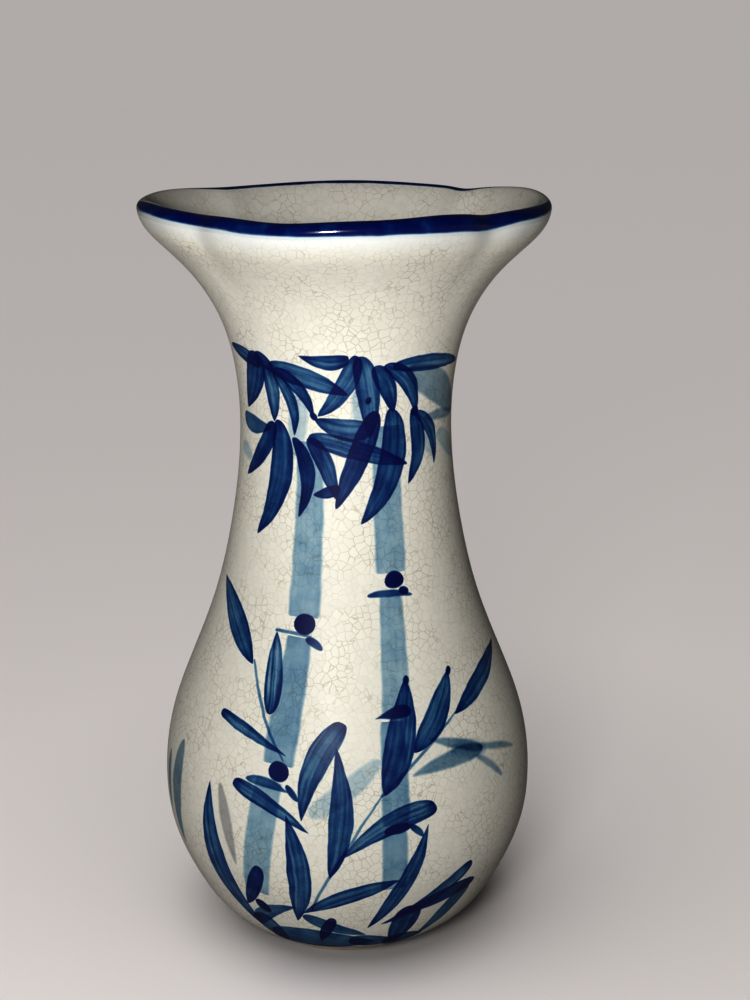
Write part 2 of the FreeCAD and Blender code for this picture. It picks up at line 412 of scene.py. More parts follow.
def crackle_group():
    """Fine cracks in the glaze: the mask of the cracks, a random tint for each cell
    between them and a scatter of pinholes."""
    group, nodes, given, result = new_group(
        "crackle", [("Place", "Vector"), ("Cell", "Float")],
        [("Crack", "Float"), ("Tint", "Float"), ("Pinhole", "Float")])
    # Cells of even size with lines bent by up to half a millimetre.
    bend = nodes.node("ShaderNodeTexNoise", {"Vector": given["Place"], "Scale": 0.45,
                                             "Detail": 2.0}).outputs["Color"]
    off = nodes.vector("MULTIPLY_ADD", bend, (1.1, 1.1, 1.1), (-0.55, -0.55, -0.55))
    place = nodes.vector("ADD", given["Place"], off)
    wide = nodes.math("DIVIDE", 1.0, given["Cell"])
    edge = nodes.node("ShaderNodeTexVoronoi", {"Vector": place, "Scale": wide},
                      feature="DISTANCE_TO_EDGE").outputs["Distance"]
    # A crack fades out from 0.02 to 0.14 mm off its line, and is fainter in patches.
    crack = nodes.ramp(nodes.math("MULTIPLY", edge, given["Cell"]), 0.02, 0.14, 1.0, 0.0)
    faint = nodes.ramp(nodes.noise(given["Place"], 0.10, 3.0), 0.35, 0.65, 0.25, 1.0)
    nodes.put(result.inputs["Crack"], nodes.math("MULTIPLY", crack, faint))
    cell = nodes.node("ShaderNodeTexVoronoi", {"Vector": place, "Scale": wide})
    nodes.put(result.inputs["Tint"], nodes.split(cell.outputs["Color"])[0])
    # A pinhole about 0.3 mm in radius in some of the cells of a 6 mm scatter.
    spot = nodes.node("ShaderNodeTexVoronoi", {"Vector": given["Place"], "Scale": 0.16})
    chosen = nodes.ramp(nodes.split(spot.outputs["Color"])[1], 0.45, 0.75)
    dot = nodes.ramp(spot.outputs["Distance"], 0.02, 0.055, 1.0, 0.0)
    nodes.put(result.inputs["Pinhole"], nodes.math("MULTIPLY", dot, chosen))
    return group


# --- brush strokes ----------------------------------------------------------------------

def stroke_group():
    """Pigment laid down by one brush stroke at a place on the vase.  Along runs from 0 to
    1 down the stroke; a leaf swells as Along^Rise * (1 - Along)^Fall."""
    group, nodes, given, result = new_group(
        "brush_stroke",
        [("Place", "Vector"), ("Scale", "Vector"), ("Offset", "Vector"),
         ("Along", "Vector"), ("Across", "Vector"), ("Length", "Float"),
         ("Width", "Float"), ("Rise", "Float"), ("Fall", "Float"), ("Bend", "Float"),
         ("Soft", "Float"), ("Tone", "Float"), ("Pooled", "Float"), ("Start", "Float"),
         ("End", "Float"), ("Grain", "Float")],
        [("Pigment", "Float")])
    local = nodes.vector("MULTIPLY_ADD", given["Place"], given["Scale"], given["Offset"])
    along = nodes.dot(local, given["Along"])
    across = nodes.dot(local, given["Across"])
    held = nodes.math("MINIMUM", nodes.math("MAXIMUM", along, 0.0), 1.0)
    left = nodes.math("SUBTRACT", 1.0, held)
    bow = nodes.math("MULTIPLY", nodes.math("MULTIPLY", held, left), given["Bend"])
    off_spine = nodes.math("SUBTRACT", across, bow)
    swell = nodes.math("MULTIPLY", nodes.math("POWER", held, given["Rise"]),
                       nodes.math("POWER", left, given["Fall"]))
    half = nodes.math("MULTIPLY", swell, given["Width"])
    beyond = nodes.math("MULTIPLY", nodes.math("ABSOLUTE", nodes.math("SUBTRACT", along, held)),
                        given["Length"])
    within = nodes.math("SUBTRACT", nodes.math("SUBTRACT", half,
                                               nodes.math("ABSOLUTE", off_spine)), beyond)
    low = nodes.math("MULTIPLY", given["Soft"], -1.0)
    cover = nodes.ramp(within, low, given["Soft"])
    pooled = nodes.ramp(within, 0.1, 1.2, given["Pooled"], 0.0)
    drawn = nodes.combine(off_spine, nodes.math("MULTIPLY", along, 0.6), given["Grain"])
    hairs = nodes.ramp(nodes.noise(drawn, 1.1, 2.0), 0.3, 0.7, -1.0, 1.0)
    tone = nodes.math("MULTIPLY_ADD", nodes.math("MULTIPLY", hairs, given["Pooled"]), 0.75,
                      given["Tone"])
    from_start = nodes.math("MULTIPLY", held, given["Length"])
    from_end = nodes.math("MULTIPLY", left, given["Length"])
    loaded = nodes.ramp(from_start, 0.8, 3.8, given["Start"], 0.0)
    ended = nodes.ramp(from_end, 0.6, 6.0, given["End"], 0.0)
    full = nodes.math("ADD", nodes.math("ADD", tone, pooled), nodes.math("ADD", loaded, ended))
    nodes.put(result.inputs["Pigment"], nodes.math("MULTIPLY", cover, full))
    return group


# Ways of holding the brush: (pigment, rise, fall, edge softness in mm, extra where it
# pools at the edges, at the start and at the end, share of grey).
LEAF = (4.5, 0.42, 0.72, 0.20, 2.1, 1.5, 2.5, 0)       # pressed down early, drawn to a point
DARK_LEAF = (6.0, 0.42, 0.75, 0.20, 2.0, 1.5, 2.0, 0)
PALE_LEAF = (2.3, 0.60, 0.90, 0.25, 1.2, 0.5, 1.0, 0)
SHADED_SLATE = (4.4, 0.42, 0.80, 0.25, 0.8, 0.5, 0.5, 0.1)    # leaves darkened and dulled: partly their own pigment, partly painted shade
TIPPED = (4.7, 0.85, 0.75, 0.20, 2.0, 2.0, 1.5, 0)     # narrow start, then swelling
BLUNT = (4.2, 0.35, 0.85, 0.20, 2.2, 4.0, 1.5, 0)      # blunt start with a drop of pigment
OPEN_LEAF = (4.9, 1.00, 0.85, 0.20, 2.0, 1.5, 2.5, 0)  # pointed at both ends
BUD = (4.0, 0.75, 0.50, 0.20, 2.8, 1.0, 2.0, 0)        # widest near its end
STEM = (2.8, 0.12, 0.25, 0.22, 0.0, 0.5, 0.0, 0)
WASH = (0.75, 0.35, 0.45, 0.70, 0.1, 0.0, 0.0, 0)      # thin, watery
TEAL = (2.00, 0.50, 0.60, 0.60, 0.2, 0.0, 0.0, 0.4)
DEEP_TEAL = (2.50, 0.90, 0.50, 0.50, 0.2, 0.0, 0.0, 0.3)
SHADE = (1.10, 0.50, 0.50, 1.20, 0.0, 0.0, 0.0, 0.3)    # a second coat, soft all round
GREY = (2.10, 0.60, 0.80, 0.50, 0.1, 0.2, 0.2, 1)      # thinned with dirty water
SLATE_WASH = (2.50, 0.60, 0.80, 0.50, 0.1, 0.2, 0.2, 0.5)
CANE = (1.50, 0.03, 0.03, 0.50, 0.15, 0.2, 0.0, 0)     # one flat pull of a wide wet brush
DEEP_CANE = (1.90, 0.03, 0.03, 0.50, 0.15, 0.4, 0.0, 0)
KNOT = (12.0, 0.50, 0.50, 0.30, 0.0, 0.0, 0.0, 0)      # round dot at a cane's joint
SPINDLE = (8.5, 1.30, 0.50, 0.25, 0.0, 0.0, 2.0, 0)    # thin line that swells into a dot
TICK = (5.5, 0.50, 0.60, 0.25, 0.5, 2.0, 0.0, 0)       # short line beside a knot

# Each stroke: from (azimuth, height) to (azimuth, height), width, bend, brush.  Bend is
# how far the middle bows out, to the left of the direction of travel.  Degrees and mm.
LEFT_CANE = [
    (-18.7, 146, -18.6, 101, 7.6, 0.0, CANE),
    (-19.6, 96, -21.8, 65, 7.9, 0.0, DEEP_CANE),
    (-24.0, 61, -29.6, 27, 8.0, 0.0, CANE),
]
RIGHT_CANE = [
    (21.6, 150, 20.8, 112, 7.8, 0.0, CANE),
    (19.2, 106, 16.6, 77, 7.0, 0.4, CANE),
    (14.8, 76, 13.8, 50, 7.0, 0.0, DEEP_CANE),
    (13.5, 48, 13.7, 31, 6.8, 0.0, DEEP_CANE),
]
LEFT_KNOTS = [
    (-22.4, 99.7, -13.2, 99.1, 5.0, 0.0, KNOT),
    (-30.6, 97.0, -14.5, 96.4, 0.8, 0.3, STEM),
    (-16.6, 96.0, -9.8, 93.3, 1.9, 0.2, TICK),
    (-24.6, 63.5, -18.0, 63.1, 4.9, 0.0, KNOT),
    (-32.0, 60.2, -18.0, 58.6, 2.6, 0.7, PALE_LEAF),
    (-18.5, 60.4, -14.8, 56.5, 1.6, 0.0, TICK),
]
RIGHT_KNOTS = [
    (17.2, 109.8, 26.4, 110.1, 4.2, 0.2, KNOT),
    (9.0, 106.7, 29.8, 105.7, 1.7, 0.6, TICK),
    (23.6, 107.4, 28.2, 106.7, 1.9, 0.0, KNOT),
    (9.4, 76.9, 22.0, 78.2, 3.0, 0.3, SPINDLE),
    (10.4, 48.3, 18.2, 49.4, 2.6, 0.2, KNOT),
    (18.0, 49.6, 22.2, 45.8, 1.7, 0.2, TICK),
]
# Pale strokes under and beside the upper sprays.
UPPER_WASHES = [
    (31, 164.5, 80, 149.5, 8.4, 0.8, TEAL),
    (7, 160, 9.5, 149, 5.0, 0.0, WASH),
    (-24, 158, -27, 142, 5.0, 0.0, WASH),
    (41, 149, 54, 140, 5.0, 0.0, WASH),
    (57, 146, 79, 137, 5.0, 0.4, WASH),
    (-72, 141, -59, 139, 3.8, 0.3, WASH),
    (45, 150.6, 78, 149.2, 2.6, 0.3, TEAL),
]
UPPER_LEFT_SPRAY = [
    (-45.5, 164.8, -72, 168.0, 4.0, -0.4, LEAF),
    (-47, 168.0, -62.5, 152.2, 7.2, 0.8, DARK_LEAF),
    (-41.5, 164.5, -40, 150.3, 4.6, 0.6, LEAF),
    (-37, 163.5, -27.3, 147.4, 3.4, 2.0, LEAF),
    (-36.5, 164.6, -16.5, 152.2, 3.4, 2.0, LEAF),
    (-18.2, 153.6, -14.9, 151.9, 1.6, 0.0, KNOT),
    (-40, 165.2, 1.0, 158.8, 5.2, 0.6, LEAF),
    (1.5, 167.8, -22, 168.5, 3.8, 1.1, BLUNT),
]
UPPER_MIDDLE_SPRAY = [
    (5.5, 168.8, -14, 152.8, 5.0, 1.7, LEAF),
    (6.5, 168.7, 12.5, 147.0, 6.0, 1.0, LEAF),
    (14, 166.0, 25, 153.5, 4.8, 0.8, LEAF),
    (19, 166.2, 38.5, 152.3, 4.8, 2.6, LEAF),
    (23, 165.6, 75, 163.5, 4.2, 0.8, LEAF),
    (10.0, 157.2, 12.6, 156.7, 1.7, 0.0, KNOT),
]
# The lower of the two sprays at the left.
HANGING_SPRAY = [
    # This first leaf at the left is darkened with the slate brush as painted shade.
    (-68, 149.2, -42, 148.4, 4.8, -0.8, SHADED_SLATE),
    (-40, 150.0, -63, 134.0, 4.8, 1.0, DARK_LEAF),
    (-36.5, 150.8, -48.5, 119.8, 7.0, 3.2, DARK_LEAF),
    (-27.5, 146.8, -24.2, 126.3, 4.2, 3.0, DARK_LEAF),
]
# Leaves between the two canes, long ones that droop at the right, and the stroke that
# joins the leaves of the upper left spray.
CROSSING_LEAVES = [
    (-19, 147.2, -5, 131.5, 4.6, 1.0, LEAF),
    (-19.5, 147.3, 33, 139.5, 5.0, 0.4, LEAF),
    (14, 149.2, -15.8, 151.8, 5.6, 0.9, LEAF),
    (15.5, 154.0, -5.2, 129.0, 5.8, 0.3, DARK_LEAF),
    (-3, 134.3, -16.5, 132.2, 2.8, 0.2, DARK_LEAF),
    (24.5, 154.3, 7.3, 125.0, 7.2, 3.8, LEAF),
    (35.2, 153.3, 39.8, 152.3, 2.6, 0.2, KNOT),
    (36.5, 153.0, 33.5, 134.2, 4.8, 2.8, LEAF),
    (39, 152.9, 53, 137.8, 3.8, 2.6, LEAF),
    (-48.5, 167.6, -36.0, 163.4, 3.4, 0.3, DARK_LEAF),
]
LOWER_WASHES = [
    (-11, 53, 10, 67.0, 5.4, 0.0, WASH),
    (19.8, 62.4, 47, 64.0, 4.4, 0.9, DEEP_TEAL),
    (27.0, 70.2, 47, 63.8, 2.8, 0.3, DEEP_TEAL),
    (34.0, 66.2, 48.5, 63.2, 4.4, 0.2, SHADE),
    (45.0, 64.8, 64, 59.0, 1.7, 0.4, TEAL),
    (43.5, 62.6, 54.5, 54.0, 1.8, 0.5, TEAL),
    (-41.5, 56.5, -35.5, 34.5, 3.6, 0.4, GREY),
    (-63.5, 61.5, -63.5, 30.5, 6.6, -1.8, SLATE_WASH),
    (-74, 55.0, -72, 38.0, 3.6, -0.8, SLATE_WASH),
]
LOWER_LEFT = [
    (-38, 88.5, -20.0, 66.0, 0.8, -0.6, STEM),
    (-72, 105.0, -38.3, 87.3, 6.8, 1.2, OPEN_LEAF),
    (-47.0, 73.9, -19.5, 67.5, 2.9, 0.6, BLUNT),
    (-29.6, 96.5, -27.0, 76.6, 5.0, 0.2, BUD),
    (-36.4, 58.4, -11.5, 48.4, 4.3, 1.2, BLUNT),
    (-1.6, 76.2, -13.6, 51.6, 6.6, -2.7, BLUNT),
    (-3.6, 70.5, -5.4, 35.5, 6.2, 2.3, OPEN_LEAF),
    (-45.8, 55.8, -34.0, 12.0, 7.4, -3.3, OPEN_LEAF),
    (-18.3, 52.5, -17.2, 18.5, 6.5, 2.9, OPEN_LEAF),
    (-27.2, 36.0, -35.5, 20.5, 4.4, 0.6, DARK_LEAF),
    (-31.0, 23.6, -27.0, 19.6, 3.2, 0.0, KNOT),
]
RIGHT_BRANCH = [
    (-12.0, 23.0, 9.6, 58.0, 0.8, 1.2, STEM),
    (9.6, 58.0, 39.0, 75.0, 0.8, 0.8, STEM),
    (21.8, 85.6, 11.0, 58.2, 8.0, 0.8, TIPPED),
    (40.4, 85.2, 21.2, 67.8, 6.3, 0.9, TIPPED),
    (22.5, 86.2, 21.4, 84.2, 1.5, 0.0, KNOT),
    (41.5, 85.8, 39.5, 84.0, 1.5, 0.0, KNOT),
]
RIGHT_LEAVES = [
    (78.0, 85.0, 38.5, 74.4, 5.2, -0.8, OPEN_LEAF),
    (26.4, 53.6, -1.5, 41.8, 6.2, -2.7, BLUNT),
    (23.8, 48.8, 6.5, 16.5, 4.8, 1.7, OPEN_LEAF),
    (40.6, 33.0, 11.0, 17.5, 4.6, 1.0, BLUNT),
    (-15.0, 22.0, 14.8, 33.6, 4.8, 1.4, OPEN_LEAF),
]
# The tangle under the belly mostly uses the slate brush: its dull dark blue is partly painted
# shade.
BOTTOM_TANGLE = [
    (44.5, 25.5, 16.0, 20.5, 5.0, -0.8, DARK_LEAF),
    (42.0, 26.0, 27.0, 8.5, 5.6, 0.8, SHADED_SLATE),
    (21.0, 23.5, 17.0, 7.0, 7.6, 0.0, DARK_LEAF),
    (13.0, 8.5, 30.0, 9.0, 6.0, 0.0, SHADED_SLATE),
    (-35.0, 13.0, -17.0, 24.0, 4.6, 1.8, SHADED_SLATE),
    (-31.0, 9.0, 10.0, 9.6, 10.5, 0.8, SHADED_SLATE),
    (-15.0, 21.0, 6.0, 13.5, 4.0, -0.6, SHADED_SLATE),
    (-5.0, 20.8, -10.5, 10.0, 3.2, 0.0, DARK_LEAF),
    (-33.5, 17.5, -25.0, 7.0, 7.0, 0.0, SHADED_SLATE),
    (0.0, 11.0, 20.0, 8.0, 6.0, 0.0, SHADED_SLATE),
]


def turned(strokes, azimuth, lift=0.0, flip=False):
    """The same strokes moved round the vase, and mirrored if flipped."""
    side = -1.0 if flip else 1.0
    return [(azimuth + side * a, z + lift, azimuth + side * b, y + lift, width, side * bend, brush)
            for a, z, b, y, width, bend, brush in strokes]


FRONT = (LEFT_CANE + RIGHT_CANE + UPPER_WASHES + LOWER_WASHES + LEFT_KNOTS + RIGHT_KNOTS
         + UPPER_LEFT_SPRAY + UPPER_MIDDLE_SPRAY + HANGING_SPRAY + CROSSING_LEAVES
         + LOWER_LEFT + RIGHT_BRANCH + RIGHT_LEAVES + BOTTOM_TANGLE)
# The back carries a lighter stand of the same bamboo: one cane, two sprays, a branch and
# two parts of the tangle.  The [:-1] leaves out the dot of a spray.
BACK = (turned(RIGHT_CANE, 172, -2.0, flip=True) + turned(RIGHT_KNOTS, 172, -2.0, flip=True)
        + turned(UPPER_MIDDLE_SPRAY[:-1], 160, -3.0, flip=True)
        + turned(HANGING_SPRAY, 147, 1.0, flip=True)
        + turned(RIGHT_BRANCH, 178, -4.0, flip=True)
        + turned(BOTTOM_TANGLE[:6], 150, 2.0) + turned(BOTTOM_TANGLE[2:8], 205, 1.0))


def turned_by(azimuth, middle):
    """Angle from one azimuth to another, from -180 to 180 degrees."""
    return (azimuth - middle + 180.0) % 360.0 - 180.0


SECTOR = 30.0            # degrees round the vase that one panel of the painting covers
BAND = 30.0              # millimetres of height that it covers
SPARE = 2.0              # millimetres kept round a stroke, for its soft and uneven edge
GRAIN_STEP = 1.7         # distance in the noise between the hairs of two strokes


def body_radius(height):
    """Radius of the glazed outside at a height, in millimetres."""
    return float(np.interp(height * MM, profile[:, 1], profile[:, 0])) / MM


def stroke_inputs(stroke, seed, middle):
    """Sockets of a brush_stroke group for one stroke, as seen from an azimuth."""
    azimuth, height, to_azimuth, to_height, width, bend, brush = stroke
    pigment, rise, fall, soft, pooled, start, end, _ = brush
    per_degree = math.radians(body_radius((height + to_height) / 2.0))
    run = (to_azimuth - azimuth) * per_degree
    climb = to_height - height
    length = math.hypot(run, climb)
    along = (run / length, climb / length, 0.0)
    peak = (rise / (rise + fall)) ** rise * (fall / (rise + fall)) ** fall
    return {
        "Scale": (per_degree, 1.0, 1.0),
        "Offset": (-turned_by(azimuth, middle) * per_degree, -height, 0.0),
        "Along": (along[0] / length, along[1] / length, 0.0),
        "Across": (-along[1], along[0], 1.0),
        "Length": length,
        "Width": width / 2.0 / peak,
        "Rise": rise,
        "Fall": fall,
        "Bend": 4.0 * bend,
        "Soft": soft,
        "Tone": pigment,
        "Pooled": pooled,
        "Start": start,
        "End": end,
        "Grain": GRAIN_STEP * seed,
    }


def reaches(stroke, sector, band):
    """Whether a stroke lies on or near one panel of the painting."""
    azimuth, height, to_azimuth, to_height, width, bend, _ = stroke
    per_degree = math.radians(body_radius((height + to_height) / 2.0))
    run, climb = (to_azimuth - azimuth) * per_degree, to_height - height
    length = math.hypot(run, climb)
    margin = width / 2.0 + SPARE
    for share in np.linspace(0.0, 1.0, 13):
        bow = 4.0 * bend * share * (1.0 - share)
        at = azimuth + (run * share - climb / length * bow) / per_degree
        level = height + climb * share + run / length * bow
        off = turned_by(at, (sector + 0.5) * SECTOR)
        near_side = abs(off) < SECTOR / 2.0 + margin / per_degree
        if near_side and band * BAND - margin < level < (band + 1) * BAND + margin:
            return True
    return False


def paint(nodes, spot, middle, strokes, stroke_shape):
    """Sums of the cobalt and of the grey of some brush strokes, on a panel with its
    middle azimuth."""
    cobalt, grey = 0.0, 0.0
    for seed, stroke in strokes:
        brush = nodes.node("ShaderNodeGroup", node_tree=stroke_shape)
        nodes.put(brush.inputs["Place"], spot)
        for name, value in stroke_inputs(stroke, seed, middle).items():
            nodes.put(brush.inputs[name], value)
        share = stroke[-1][-1]
        laid = brush.outputs["Pigment"]
        if share < 1:
            cobalt = nodes.math("MULTIPLY_ADD", laid, 1.0 - share, cobalt)
        if share > 0:
            grey = nodes.math("MULTIPLY_ADD", laid, share, grey)
    return cobalt, grey


# --- materials --------------------------------------------------------------------------

CREAM = (0.80, 0.785, 0.705, 1.0)
# A greyer cream: the far end of the glaze's random broad tone changes, and the base of the inside
# glaze, where its darkness is painted shade.
GREY_AND_SHADED_CREAM = (0.70, 0.68, 0.62, 1.0)
POOLED_WHITE = (0.70, 0.71, 0.695, 1.0)
STAIN = (0.55, 0.48, 0.38, 1.0)
CLAY = (0.66, 0.56, 0.45, 1.0)
RUBBED_CLAY = (0.52, 0.43, 0.34, 1.0)
CLAY_SPECK = (0.30, 0.22, 0.15, 1.0)
# Width in mm of the cells that the cracks leave, on each face of the vase.
OUTSIDE_CELL, INSIDE_CELL, BASE_CELL = 2.1, 2.4, 2.8
# Least and greatest roughness of a glaze, and the weight of the clear coat over it.
SATIN = (0.40, 0.50, 0.05)
HALF_GLOSS = (0.30, 0.40, 0.15)
HIGH_GLOSS = (0.14, 0.22, 0.5)
# What one unit of a pigment lets through, and what the thickest layer sends back.
COBALT = ((0.45, 0.612, 0.72), (0.0, 0.004, 0.10))
GREY_WASH = ((0.66, 0.667, 0.695), (0.10, 0.10, 0.11))


def vase_place(nodes):
    """Where a point is, in millimetres."""
    position = nodes.node("ShaderNodeTexCoord").outputs["Object"]
    place = nodes.vector("SCALE", position)
    place.node.inputs["Scale"].default_value = 1.0 / MM
    return place


def through(nodes, colour, pigment, amount):
    """A glaze colour seen with an amount of one pigment under it."""
    left = []
    for share, deepest in zip(*pigment):
        thinned = nodes.math("POWER", share, amount)
        left.append(nodes.math("MULTIPLY_ADD", thinned, 1.0 - deepest, deepest))
    return nodes.mix(1.0, colour, nodes.combine(*left), "MULTIPLY")


def measure(nodes, label):
    """One of the numbers kept at the points of a glaze piece."""
    return nodes.node("ShaderNodeAttribute", attribute_name=label).outputs["Fac"]


def band_pigment(nodes, place):
    """Cobalt of the lip band: even and dark, with a pale bleed below its soft edge."""
    wave = nodes.math("MULTIPLY_ADD", nodes.noise(place, 0.10, 2.0), 0.5, -0.25)
    below = nodes.math("ADD", measure(nodes, "below_band"), wave)
    into = nodes.math("ADD", measure(nodes, "into_band"), wave)
    outside = nodes.ramp(below, -0.4, 0.4, 1.0, 0.0)
    started = nodes.ramp(into, -0.3, 0.3)
    bled = nodes.ramp(below, -0.2, 1.8, 0.35, 0.0)
    streaks = nodes.ramp(nodes.noise(place, 0.25, 3.0), 0.35, 0.75, 13.0, 6.5)
    laid = nodes.math("MULTIPLY_ADD", outside, streaks, bled)
    return nodes.math("MULTIPLY", laid, started)


def glaze_colour(nodes, place, crackle, cell, base, strength, cobalt, grey, pooled):
    """Glaze with its tint, pigments, pinholes, cracks of a strength from 0 to 1, and the
    share of thick white glaze pooled in it."""
    cracks = nodes.node("ShaderNodeGroup", {"Place": place, "Cell": cell}, node_tree=crackle)
    broad = nodes.ramp(nodes.noise(place, 0.02, 3.0), 0.3, 0.7)
    colour = nodes.mix(nodes.math("MULTIPLY", broad, 0.30), base, GREY_AND_SHADED_CREAM)
    light = nodes.math("MULTIPLY_ADD", cracks.outputs["Tint"], 0.05, 0.965)
    colour = nodes.mix(1.0, colour, nodes.combine(light, light, light), "MULTIPLY")
    colour = nodes.mix(nodes.math("MULTIPLY", pooled, 0.9), colour, POOLED_WHITE)
    colour = through(nodes, colour, COBALT, cobalt)
    if grey:
        colour = through(nodes, colour, GREY_WASH, grey)
    clear = nodes.math("MULTIPLY_ADD", pooled, -0.75, 1.0)
    crack = nodes.math("MULTIPLY", cracks.outputs["Crack"],
                       nodes.math("MULTIPLY", clear, strength))
    colour = nodes.mix(crack, colour, nodes.mix(1.0, colour, STAIN, "MULTIPLY"))
    pin = nodes.math("MULTIPLY", cracks.outputs["Pinhole"], 0.5)
    return nodes.mix(pin, colour, nodes.mix(1.0, colour, STAIN, "MULTIPLY")), cracks


def finish_glaze(nodes, shader, place, colour, cracks, gloss):
    """Gloss of a fired glaze: fine unevenness, cracks that just catch the light."""
    low, high, coat = gloss
    nodes.put(shader.inputs["Base Color"], colour)
    nodes.put(shader.inputs["Roughness"],
              nodes.ramp(nodes.noise(place, 0.15, 3.0), 0.3, 0.7, low, high))
    nodes.put(shader.inputs["Specular IOR Level"], 0.25)
    nodes.put(shader.inputs["Coat Weight"], coat)
    nodes.put(shader.inputs["Coat Roughness"], 0.08)
    skin = nodes.noise(place, 0.35, 2.0)
    groove = nodes.math("MULTIPLY_ADD", cracks.outputs["Crack"], -0.25, skin)
    bump = nodes.node("ShaderNodeBump", {"Height": groove, "Strength": 0.25,
                                         "Distance": 0.05 * MM})
    nodes.put(shader.inputs["Normal"], bump.outputs["Normal"])


def pooled_white(nodes):
    """Share of white glaze that has run down and pooled below the lip band."""
    depth = measure(nodes, "below_band")
    reach = nodes.math("MULTIPLY_ADD", nodes.noise(vase_place(nodes), 0.12, 2.0), -5.0, depth)
    return nodes.math("MULTIPLY", nodes.ramp(depth, -1.0, 0.2),
                      nodes.ramp(reach, -1.0, 4.0, 1.0, 0.0))


def painted_material(name, sector, strokes, crackle, stroke_shape):
    """Outside glaze over one panel of the painting."""
    material, nodes, shader = new_material(name)
    place = vase_place(nodes)
    cobalt, grey = band_pigment(nodes, place), 0.0
    if strokes:
        middle = (sector + 0.5) * SECTOR
        turn = math.radians(middle)
        sideways = nodes.dot(place, (math.cos(turn), math.sin(turn), 0.0))
        outward = nodes.dot(place, (math.sin(turn), -math.cos(turn), 0.0))
        degrees = nodes.math("DEGREES", nodes.math("ARCTAN2", sideways, outward))
        wobble = nodes.math("MULTIPLY_ADD", nodes.noise(place, 0.18, 2.0), 0.8, -0.4)
        spot = nodes.combine(degrees, nodes.split(place)[2], wobble)
        painted, grey = paint(nodes, spot, middle, strokes, stroke_shape)
        blotch = nodes.ramp(nodes.noise(place, 0.20, 2.0), 0.25, 0.75, 0.82, 1.18)
        cobalt = nodes.math("MULTIPLY_ADD", painted, blotch, cobalt)
    colour, cracks = glaze_colour(nodes, place, crackle, OUTSIDE_CELL, CREAM, strength=0.6,
                                  cobalt=cobalt, grey=grey, pooled=pooled_white(nodes))
    finish_glaze(nodes, shader, place, colour, cracks, SATIN)
    return material


def lip_material(crackle):
    """Lip glaze: the blue band and the bare white at its edges, thick and glossy."""
    material, nodes, shader = new_material("blue_lip_glaze")
    place = vase_place(nodes)
    colour, cracks = glaze_colour(nodes, place, crackle, OUTSIDE_CELL, CREAM, strength=0.4,
                                  cobalt=band_pigment(nodes, place), grey=0.0,
                                  pooled=pooled_white(nodes))
    finish_glaze(nodes, shader, place, colour, cracks, HIGH_GLOSS)
    return material


def inside_material(crackle):
    """Inside glaze, greyer than the outside: its darker base is painted shade inside the vase."""
    material, nodes, shader = new_material("inside_glaze")
    place = vase_place(nodes)
    colour, cracks = glaze_colour(nodes, place, crackle, INSIDE_CELL, GREY_AND_SHADED_CREAM,
                                  strength=0.55, cobalt=band_pigment(nodes, place),
                                  grey=0.0, pooled=0.0)
    finish_glaze(nodes, shader, place, colour, cracks, HALF_GLOSS)
    return material


def base_material(crackle):
    """Glaze of the base, seen only from below."""
    material, nodes, shader = new_material("base_glaze")
    place = vase_place(nodes)
    colour, cracks = glaze_colour(nodes, place, crackle, BASE_CELL, CREAM, strength=0.8,
                                  cobalt=0.0, grey=0.0, pooled=0.0)
    finish_glaze(nodes, shader, place, colour, cracks, SATIN)
    return material


def clay_material():
    """Bare fired clay of the foot ring: matt, fine-grained, a little rubbed."""
    material, nodes, shader = new_material("bare_clay")
    place = vase_place(nodes)
    grain = nodes.noise(place, 2.2, 4.0, 0.7)
    worn = nodes.ramp(nodes.noise(place, 0.12, 3.0), 0.4, 0.65)
    tint = nodes.mix(worn, CLAY, RUBBED_CLAY)
    speck = nodes.ramp(grain, 0.30, 0.38, 0.35, 0.0)
    nodes.put(shader.inputs["Base Color"], nodes.mix(speck, tint, CLAY_SPECK))
    nodes.put(shader.inputs["Roughness"], nodes.ramp(grain, 0.3, 0.7, 0.75, 0.95))
    bump = nodes.node("ShaderNodeBump", {"Height": grain, "Strength": 0.5,
                                         "Distance": 0.12 * MM})
    nodes.put(shader.inputs["Normal"], bump.outputs["Normal"])
    return material


# --- building the vase ------------------------------------------------------------------

pieces = build_glazes()
# Radius and height of the outside, up its front column.  body_radius() reads it.
outside_points = np.array([vertex.co for vertex in pieces["painted_glaze"].data.vertices])
front_column = outside_points[:len(outside_points) // 2:COLUMNS]
profile = np.stack([np.hypot(front_column[:, 0], front_column[:, 1]), front_column[:, 2]],
                   axis=-1)


def paint_outside(piece, crackle):
    """Give every face of the outside glaze the material of its panel of the painting, so
    that each panel works out only the strokes that reach it."""
    stroke_shape = stroke_group()
    strokes = list(enumerate(FRONT + BACK))
    middles = np.array([face.center for face in piece.data.polygons])
    azimuths = np.degrees(np.arctan2(middles[:, 0], -middles[:, 1])) % 360.0
    sectors = (azimuths // SECTOR).astype(int)
    bands = (middles[:, 2] / MM // BAND).astype(int)
    slots = np.zeros(len(middles), dtype=int)
    piece.data.materials.append(painted_material("painted_plain", 0, [], crackle, stroke_shape))
    for sector in range(int(360 / SECTOR)):
        for band in range(bands.max() + 1):
            near = [entry for entry in strokes if reaches(entry[1], sector, band)]
            if near:
                name = "painted_{}_{}".format(sector, band)
                slots[(sectors == sector) & (bands == band)] = len(piece.data.materials)
                piece.data.materials.append(
                    painted_material(name, sector, near, crackle, stroke_shape))
    piece.data.polygons.foreach_set("material_index", slots)


def dress(piece, material):
    """Put one material on an object, in place of what it carried."""
    piece.data.materials.clear()
    piece.data.materials.append(material)


crackle = crackle_group()
paint_outside(pieces["painted_glaze"], crackle)
dress(pieces["blue_lip_glaze"], lip_material(crackle))
dress(pieces["inside_glaze"], inside_material(crackle))
dress(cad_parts["clay_body"], clay_material())
dress(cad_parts["base_glaze"], base_material(crackle))

